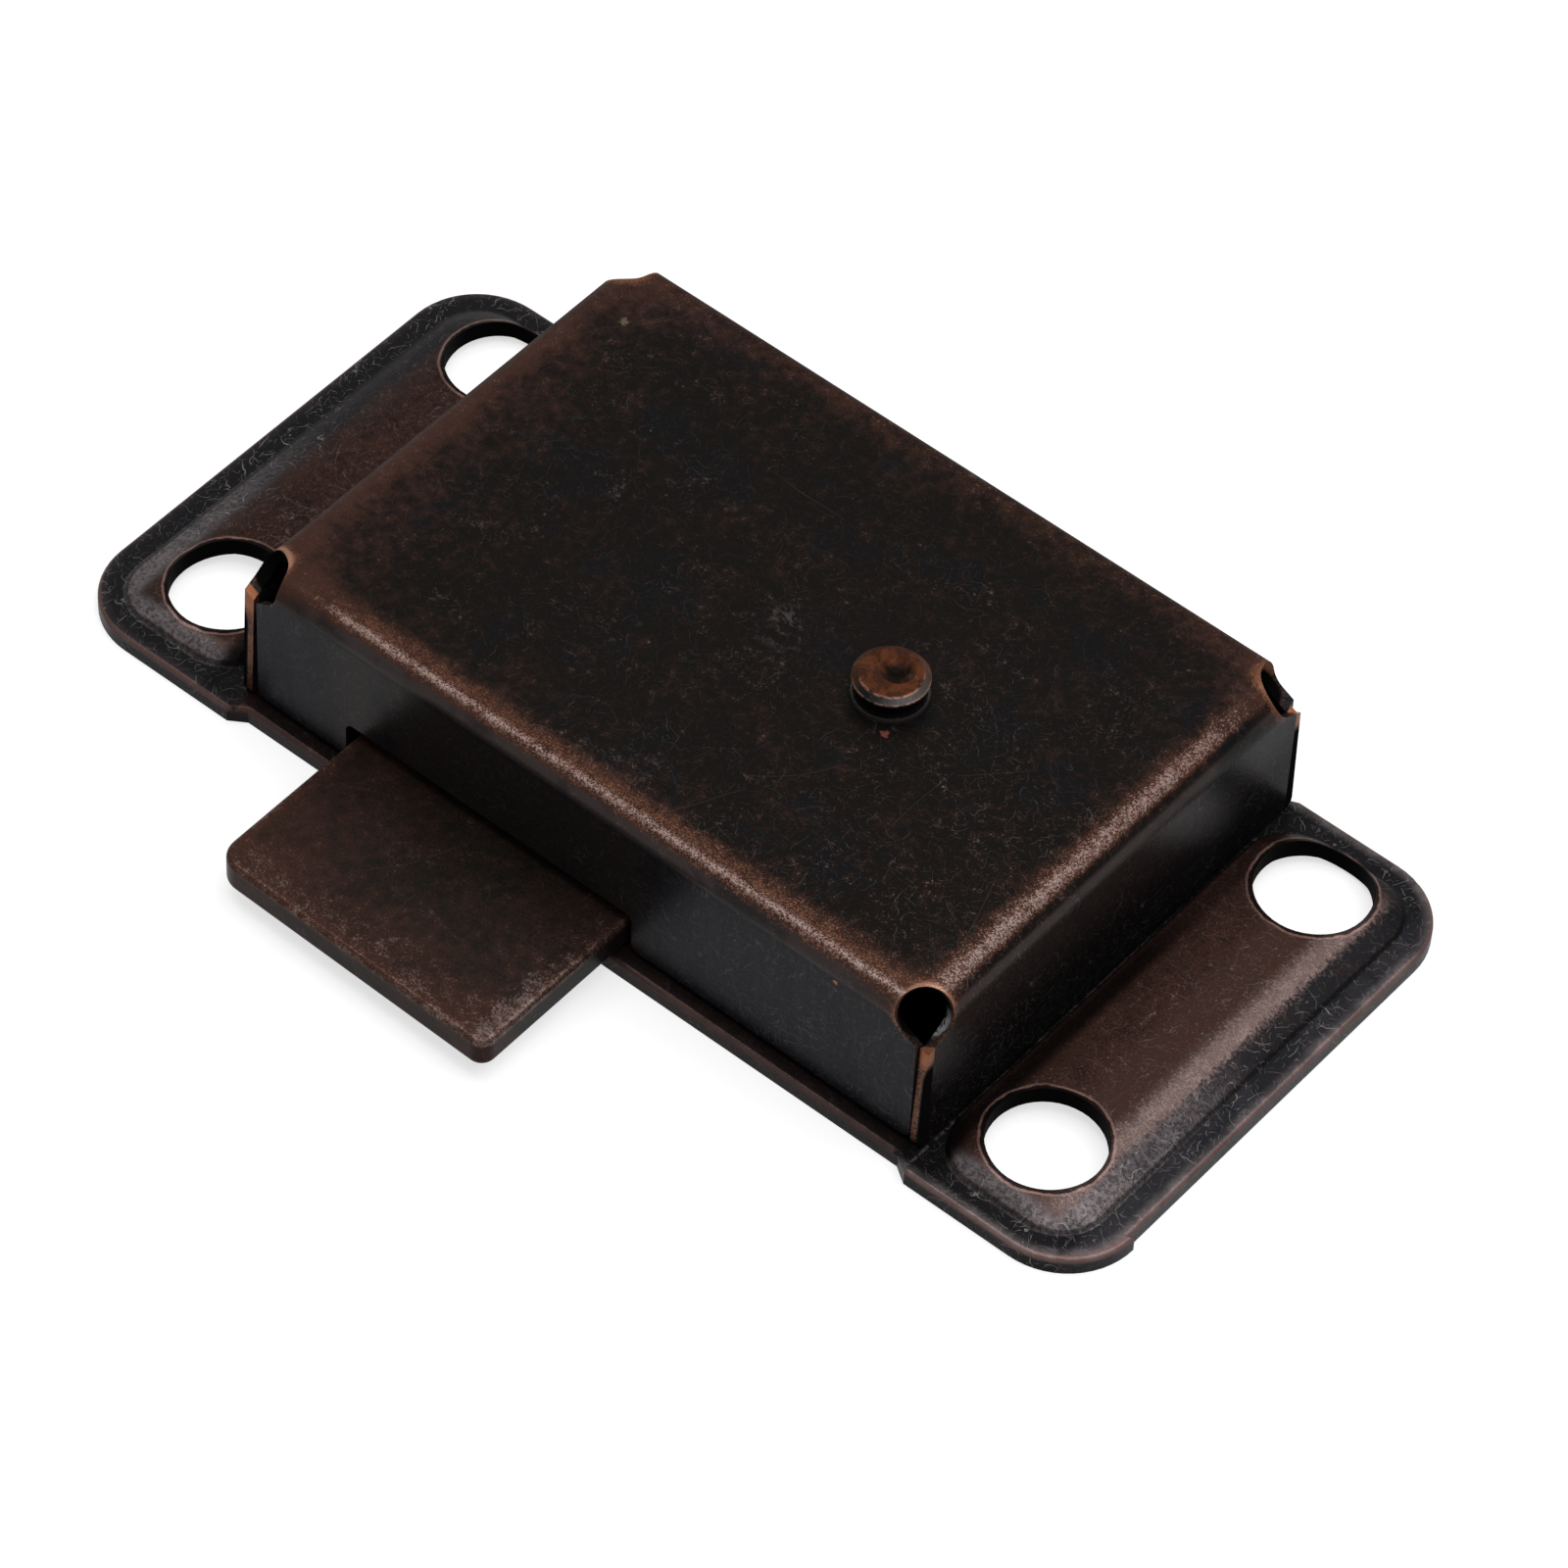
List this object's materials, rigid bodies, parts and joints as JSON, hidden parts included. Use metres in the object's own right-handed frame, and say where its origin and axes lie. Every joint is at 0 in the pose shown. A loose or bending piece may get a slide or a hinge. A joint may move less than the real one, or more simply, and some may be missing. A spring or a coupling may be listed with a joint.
{
  "type": "cabinet lock",
  "caption": "Surface-mounted cabinet lock of pressed steel: folded case on a screw plate, sliding bolt thrown by a barrel key on a riveted drill pin.",
  "frame": {"origin": "centre of the four screw holes, on the mounting face", "axes": "+X along the plate's length, -Y the way the bolt is thrown, +Z from the mounting face to the case top"},
  "size_m": [0.0652, 0.0396, 0.012],
  "materials": {
    "plate_steel": "steel sheet with a dark antique copper finish, satin",
    "case_steel": "steel sheet with a near-black antique copper finish, worn to brown at the bends",
    "bolt_steel": "steel with a dark antique copper finish, satin",
    "pin_steel": "steel with a red-brown antique copper finish",
    "rivet_steel": "bare turned steel",
    "spring_steel": "bare spring steel strip",
    "ward_steel": "bare steel strip"
  },
  "bodies": {
    "lock": {"back_plate": "plate_steel", "case": "case_steel", "drill_pin": "pin_steel", "guide_stump": "rivet_steel", "spring_post": "rivet_steel", "detent_spring": "spring_steel", "ring_ward": "ward_steel"},
    "bolt": {"bolt": "bolt_steel"}
  },
  "joints": [
    {"name": "bolt_slide", "type": "slide", "parent": "lock", "child": "bolt", "axis": [0, 1, 0], "range_m": [0, 0.00945], "deforming": ["detent_spring"]}
  ]
}
